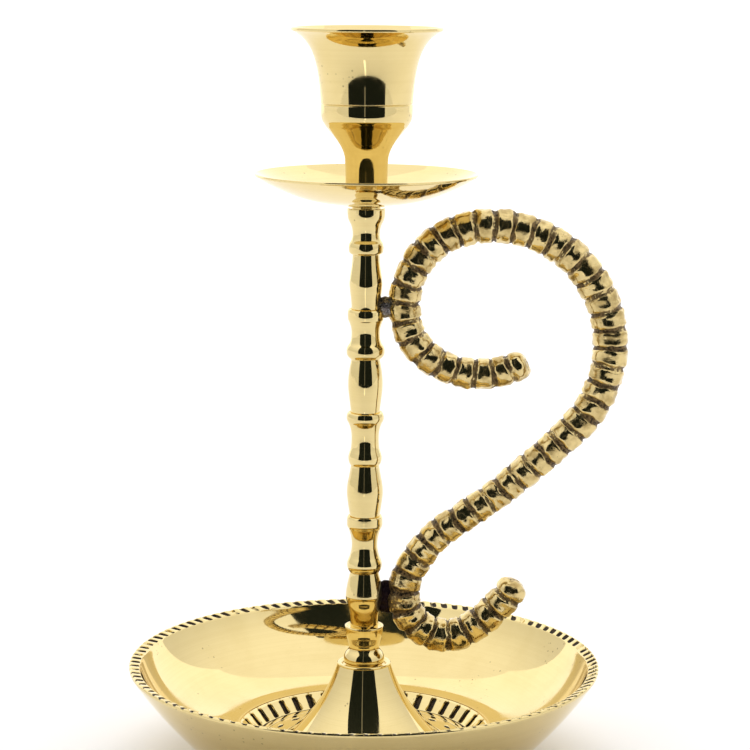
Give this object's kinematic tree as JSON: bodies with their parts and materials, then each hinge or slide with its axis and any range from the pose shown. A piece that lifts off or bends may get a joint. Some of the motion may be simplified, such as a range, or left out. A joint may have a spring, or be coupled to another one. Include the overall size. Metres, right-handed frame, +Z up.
{
  "type": "chamberstick candle holder",
  "caption": "Turned brass chamberstick: notched round dish, bell foot, slim beaded stem, drip pan, tulip candle cup and a ribbed S-shaped side handle.",
  "frame": {"origin": "on the stem's axis, in the plane of the foot ring that the dish stands on", "axes": "+Z up the stem to the candle, +X from the stem towards the handle, +Y away from the front"},
  "size_m": [0.1466, 0.14, 0.2175],
  "materials": {
    "polished_brass": "mirror polished, with dark patina in the cut ornament",
    "antiqued_brass": "cast, polished on the ribs and dark in the grooves",
    "steel_fixings": "plain bright steel",
    "solder": "dull grey solder with heat oxide"
  },
  "bodies": {
    "root": {"dish": "polished_brass", "bell_foot": "polished_brass", "stem_spool_1": "polished_brass", "stem_barrel_1": "polished_brass", "stem_spool_2": "polished_brass", "stem_barrel_2": "polished_brass", "stem_spool_3": "polished_brass", "stem_barrel_3": "polished_brass", "stem_spool_4": "polished_brass", "stem_barrel_4": "polished_brass", "stem_spool_5": "polished_brass", "neck_collar": "polished_brass", "drip_pan": "polished_brass", "candle_cup": "polished_brass", "tie_rod": "steel_fixings", "base_washer": "steel_fixings", "base_nut": "steel_fixings", "handle": "antiqued_brass", "upper_solder": "solder", "lower_solder": "solder"}
  },
  "joints": []
}
